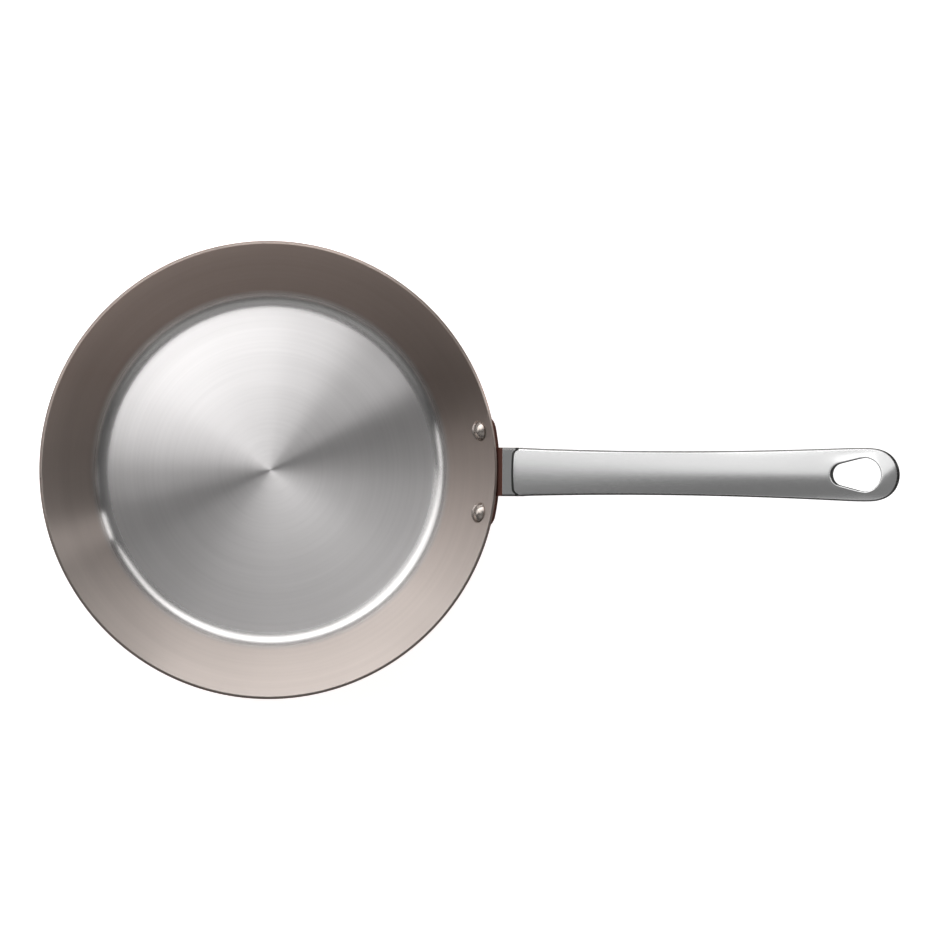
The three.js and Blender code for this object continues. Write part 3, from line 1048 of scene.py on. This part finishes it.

# %% [markdown]
# ### Spun copper
# The shell is copper, polished on a wheel while the pan turned. That leaves much finer rings than
# the pad does inside, so the copper is nearly a mirror with a soft bloom. Air darkens it in broad
# clouds, most of all low on the wall and under the base. A dark brown band along its top edge,
# just below the rim, is painted shade.

# %% Spun copper of the shell
COPPER = "#d3855f"
DULL_COPPER = "#b2633f"
SHADED_EDGE_COPPER = "#83523f"
EDGE_SHADE_FROM, EDGE_SHADE_TO = 42.4, 43.4  # mm above the base
COPPER_PITCH, COPPER_ARC = 0.5, 3  # mm, coarser than the wheel's marks so that they show
CLOUDS = 22  # in a metre, so that a cloud is about 45 mm wide
COPPER_ROUGH, DULL_ROUGH = (0.15, 0.2), 0.08  # of the rings, and more where it is dull
LOW_DULL, LOW_REACH = 0.25, 30  # dulling at the base, and the height where it ends, in mm


def spun_copper(tree):
    # polished, with a wheel's fine rings under clouds of tarnish, and painted shade at the top edge
    place = point(tree)
    up = part(tree, place, 2)
    rings = ring_marks(tree, COPPER_PITCH, COPPER_ARC, 3)
    clouds = noise(tree, place, CLOUDS, Detail=4, Roughness=0.6)
    low = between(tree, up, 0, LOW_REACH * MM, LOW_DULL, 0)
    dull = between(tree, clouds, 0.4, 0.75, 0, 0.6)
    dull = reckoned(tree, "ADD", dull, low, use_clamp=True)
    colour = mixed(tree, dull, COPPER, DULL_COPPER)
    # painted shade: a dark band along the copper's top edge
    edge_shade = between(tree, up, EDGE_SHADE_FROM * MM, EDGE_SHADE_TO * MM)
    colour = mixed(tree, edge_shade, colour, SHADED_EDGE_COPPER)
    rough = from_noise(tree, rings, *COPPER_ROUGH)
    rough = reckoned(tree, "MULTIPLY_ADD", dull, DULL_ROUGH, rough)
    return {"Base Color": colour, "Roughness": rough, "Normal": bumped(tree, rings, 0.08, 0.02)}


coat(shell, finish_of(spun_copper))

# %% [markdown]
# ### Ground aluminium
# The core shows only as a line on the rim, where a belt ground the three edges level. Bare
# aluminium is pale and slightly blue, and the belt smeared a little of its neighbours over it, so
# it is duller and warmer than a clean cut.

# %% Ground aluminium of the core
ALUMINIUM = "#bcb5b0"
SMEARED = "#a8968c"
GROUND_PITCH, GROUND_ARC = 0.25, 12  # mm, and changes in a radian
GROUND_ROUGH = (0.26, 0.36)


def ground_aluminium(tree):
    # a belt's short marks, smeared with steel and copper
    marks = ring_marks(tree, GROUND_PITCH, GROUND_ARC, 2)
    colour = mixed(tree, marks, ALUMINIUM, SMEARED)
    return {"Base Color": colour, "Roughness": from_noise(tree, marks, *GROUND_ROUGH)}


coat(core, finish_of(ground_aluminium))

# %% [markdown]
# ### Satin cast steel, and cast skin with painted shade
# The handle was cast, ground and then satined with a fine belt that ran lengthwise, so its light
# is soft across and has faint lines along it. A hand held it to the belt, so it isn't quite flat.
# Its belly is painted darker, which is painted shade. A coarser belt broke its edges, and their
# darker grey is painted shade. Where no belt reaches, on the flange, on the neck's front, in the
# step and in the hole, the casting keeps a dark skin of oxide, which is matt and no bare metal;
# there the dark is partly real skin and partly painted shade. Next to the pan it is brown, a
# painted reflection of the copper.

# %% Satin cast steel and cast skin, with painted shade, of the handle
SATIN = "#d9d9d9"
BELLY_SHADE = 0.62
SATIN_ROUGH, SKIN_ROUGH, EDGE_ROUGH = (0.17, 0.21), (0.7, 0.9), (0.24, 0.32)
# the edges' dark grey is painted shade, for the dark lines round the grip
SHADED_EDGE_STEEL = "#686766"
# dark grey of the skin, partly painted shade
SKIN_AND_SHADE_GREY = "#2a2b2a"
# painted reflection: the copper's brown on the skin next to the pan
COPPER_REFLECTION_BROWN = "#4c2f28"
REFLECTION_FROM, REFLECTION_TO = 4, 2  # mm before the step, where the brown goes over into black
BELT_LENGTH, COARSE_LENGTH = 14, 6  # mm
BELT_PITCH = 0.3  # mm; real belt marks are about 0.03 mm apart
WAVE = 18  # mm, the size of the hollows that a hand leaves
GRAIN = 0.4  # mm, the sand's grain on the skin


def satin_cast_steel(tree):
    # a fine belt's lines on a face that is slightly wavy, with painted shade on the belly
    lines = long_marks(tree, BELT_LENGTH, BELT_PITCH, 3)
    waves = noise(tree, point(tree), 1 / (WAVE * MM), Detail=1)
    upwards = part(tree, add(tree, "NewGeometry", {}).outputs["Normal"], 2)
    # painted shade: faces that look down are painted darker
    belly = between(tree, upwards, -0.3, 0.2, BELLY_SHADE, 1)
    faint = from_noise(tree, lines, 0.95, 1.02)
    shade = reckoned(tree, "MULTIPLY", faint, belly)
    bump = bumped(tree, lines, 0.05, 0.02, Normal=bumped(tree, waves, 0.12, 0.2))
    return {
        "Base Color": scaled(tree, SATIN, shade),
        "Roughness": from_noise(tree, lines, *SATIN_ROUGH),
        "Normal": bump,
    }


def skin_and_painted_shade(tree):
    # matt scale with the grain of the sand mould, its dark grey partly painted shade
    place = point(tree)
    grains = noise(tree, place, 1 / (GRAIN * MM), Detail=2)
    # painted reflection: brown of the copper next to the pan, black past it
    past_reflection = between(tree, part(tree, place, 0), (crest.x - REFLECTION_FROM) * MM, (crest.x - REFLECTION_TO) * MM)
    tint = mixed(tree, past_reflection, COPPER_REFLECTION_BROWN, SKIN_AND_SHADE_GREY)
    return {
        "Base Color": scaled(tree, tint, from_noise(tree, grains, 0.75, 1.2)),
        "Metallic": 0,
        "Specular IOR Level": 0.2,
        "Roughness": from_noise(tree, grains, *SKIN_ROUGH),
        "Normal": bumped(tree, grains, 0.3, 0.1),
    }


def broken_edge(tree):
    # a coarse belt's shorter and wider lines, on a dark grey that is painted shade
    lines = long_marks(tree, COARSE_LENGTH, 2 * BELT_PITCH, 3)
    return {
        "Base Color": scaled(tree, SHADED_EDGE_STEEL, from_noise(tree, lines, 0.85, 1.1)),
        "Roughness": from_noise(tree, lines, *EDGE_ROUGH),
    }


for number, surface in enumerate((satin_cast_steel, skin_and_painted_shade, broken_edge)):
    bar.data.materials[number] = finish_of(surface)
    count = sum(face.material_index == number for face in bar.data.polygons)
    print(surface.__name__, "is on", count, "faces")

# %% [markdown]
# ### Tumbled steel
# Rivets are tumbled with small stones before use, which leaves a soft shine without a direction
# and tiny dents. The heads are painted darker and warmer than bare steel: painted warm light from
# the wall, and painted shade.

# %% Tumbled steel of the rivets
# darker and warmer than bare steel: the wall's painted warm light, and painted shade
RIVET_STEEL = "#a8a09a"
DENT = 0.8  # mm
RIVET_ROUGH = (0.24, 0.32)


def tumbled_steel(tree):
    # a soft shine full of tiny dents
    dents = noise(tree, point(tree), 1 / (DENT * MM), Detail=2)
    return {
        "Base Color": scaled(tree, RIVET_STEEL, from_noise(tree, dents, 0.92, 1.04)),
        "Roughness": from_noise(tree, dents, *RIVET_ROUGH),
        "Normal": bumped(tree, dents, 0.15, 0.05),
    }


rivet_finish = finish_of(tumbled_steel)
coat(left_rivet, rivet_finish)
coat(right_rivet, rivet_finish)

# %% [markdown]
# ## Floor
# The photograph's ground is white paper. A white floor in strong light would make the pan too
# bright, so the paper glows almost white to the camera and in reflections, and the light on it
# adds the rest, except in the pan's soft shadow. From below it is clear, to show the base.

# %% White paper
PAPER_HALF = 9000
PAPER = "#bcbcbc"
PAPER_GLOW = 0.88

square = [(x * PAPER_HALF, y * PAPER_HALF, 0) for x, y in ((-1, -1), (1, -1), (1, 1), (-1, 1))]
floor = new_object("floor", square, [[0, 1, 2, 3]])

paper = bpy.data.materials.new("white_paper")
paper.use_nodes = True
tree = paper.node_tree
matt = tree.nodes["Principled BSDF"]
feed(tree, matt, {"Base Color": PAPER, "Roughness": 0.9, "Specular IOR Level": 0})
rays = add(tree, "LightPath", {}).outputs
seen = reckoned(tree, "MAXIMUM", rays["Is Camera Ray"], rays["Is Glossy Ray"])
seen = reckoned(tree, "MAXIMUM", seen, rays["Is Transmission Ray"])
seen = reckoned(tree, "MULTIPLY", seen, PAPER_GLOW)
glow = add(tree, "Emission", {"Color": "#ffffff", "Strength": seen}).outputs[0]
both = add(tree, "AddShader", {0: matt.outputs[0], 1: glow}).outputs[0]
clear = add(tree, "BsdfTransparent", {}).outputs[0]
from_below = add(tree, "NewGeometry", {}).outputs["Backfacing"]
sided = add(tree, "MixShader", {0: from_below, 1: both, 2: clear}).outputs[0]
feed(tree, tree.nodes["Material Output"], {"Surface": sided})
coat(floor, paper)
print(f"paper {2 * PAPER_HALF * MM:.0f} m wide")

# %% [markdown]
# ## Room and lamps
# Metal shows what is round it. The fans on the floor and the two tones of the handle say that one
# long soft box hung close above the pan, on the far side, and that the near side was a dim room.
# A picture of a studio could light the pan, but a few plain boxes can be moved until each
# reflection lies where the photograph has it.

# %% Dim room with a pale foot
ROOM_LOW, ROOM_HIGH = 0.13, 0.26  # brightness of the walls and of the ceiling
CEILING_FROM, CEILING_TO = 0.7, 0.95  # height of a direction, where 0 is level and 1 is upright
FOOT_FROM, FOOT_TO = 0.07, 0.14

world = bpy.data.worlds.new("studio")
scene.world = world
world.use_nodes = True
tree = world.node_tree
height = part(tree, add(tree, "TexCoord", {}).outputs["Generated"], 2)
room = between(tree, height, CEILING_FROM, CEILING_TO, ROOM_LOW, ROOM_HIGH)
foot = between(tree, height, FOOT_FROM, FOOT_TO, 1, 0)
level = reckoned(tree, "MAXIMUM", room, foot)
feed(tree, tree.nodes["Background"], {"Color": "#ffffff", "Strength": level})
scene.view_settings.view_transform = "Standard"
print("room brightness:", ROOM_LOW, "to", ROOM_HIGH)

# %% [markdown]
# ### Soft boxes
# The cloth of a long soft box isn't lit evenly, so the box over the pan is drawn in seven parts,
# of which the middle is brightest. Three more lamps lie level and two cards stand upright.

# %% Soft boxes and cards
BOX_TURN = radians(20)
BOX_HEIGHT = 0.3  # metres


def lamp(name, middle, turn, width, height, level):
    """A rectangle that glows evenly, level 1 being as bright as white paper."""
    data = bpy.data.lights.new(name, "AREA")
    data.shape = "RECTANGLE"
    data.size, data.size_y = width, height
    data.energy = level * pi * width * height
    made = bpy.data.objects.new(name, data)
    scene.collection.objects.link(made)
    made.location, made.rotation_euler = middle, turn


def overhead(name, corner, width, depth, turn, level):
    """A level soft box, given by one corner and the direction of its near edge."""
    run = Vector((cos(turn), sin(turn), 0))
    middle = Vector(corner) + run * width / 2 + Vector((-run.y, run.x, 0)) * depth / 2
    lamp(name, middle, (0, 0, turn), width, depth, level)


def part_of_box(name, start, end, near, far, level):
    """Part of the long box, from start to end along it and from near to far off the axis."""
    along = Vector((cos(BOX_TURN), sin(BOX_TURN), 0))
    corner = along * start + Vector((-along.y, along.x, 0)) * near + Vector((0, 0, BOX_HEIGHT))
    overhead(name, corner, end - start, far - near, BOX_TURN, level)


def upright(name, azimuth, distance, low, high, width, level):
    """A card that stands at an azimuth in degrees and faces the pan's axis."""
    way = Vector((cos(radians(azimuth)), sin(radians(azimuth)), 0))
    middle = way * distance + Vector((0, 0, (low + high) / 2))
    lamp(name, middle, (-way).to_track_quat("-Z", "Y").to_euler(), width, high - low, level)


# sizes in metres, and the brightness last
part_of_box("box_edge", -0.233, 0.133, 0.09, 0.147, 2.4)
part_of_box("box_near", -0.233, 0.133, 0.147, 0.25, 2.4)
part_of_box("box_middle", -0.233, 0.133, 0.25, 0.4, 4.8)
part_of_box("box_far", -0.233, 0.4, 0.4, 0.56, 1.9)
part_of_box("box_right", 0.133, 0.4, 0.147, 0.4, 2.9)
part_of_box("box_corner", 0.133, 0.4, 0.04, 0.147, 1.7)
part_of_box("box_left", -0.5, -0.233, 0.04, 0.5, 1.9)
overhead("ceiling", (-1.5, 0.03, 2.0), 1.05, 0.9, radians(-3.5), 0.95)
overhead("near_card", (-0.6, -0.75, 0.6), 1.2, 0.5, 0, 0.35)
overhead("tail_card", (0.288, -0.012, 0.165), 0.06, 0.05, radians(35), 0.95)
upright("far_card", 95, 1.0, 0.02, 0.2, 1.3, 3.2)
upright("narrow_card", 20, 1.0, 0.2, 0.7, 0.16, 1.9)

# %% [markdown]
# ## Pieces and solids
# Each piece stands for one imported solid and rides on the pan's only body, and that solid is
# hidden. The name of the solid's slot stands beside it, but it is not used here.

# %% Every piece rides on the pan
for made, node, slot in (
    (lining, "steel_lining", "lining_steel"),
    (core, "aluminium_core", "core_aluminium"),
    (shell, "copper_shell", "shell_copper"),
    (bar, "handle", "handle_steel"),
    (left_rivet, "rivet_left", "rivet_steel"),
    (right_rivet, "rivet_right", "rivet_steel"),
):
    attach(made, "root")
    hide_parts(node)
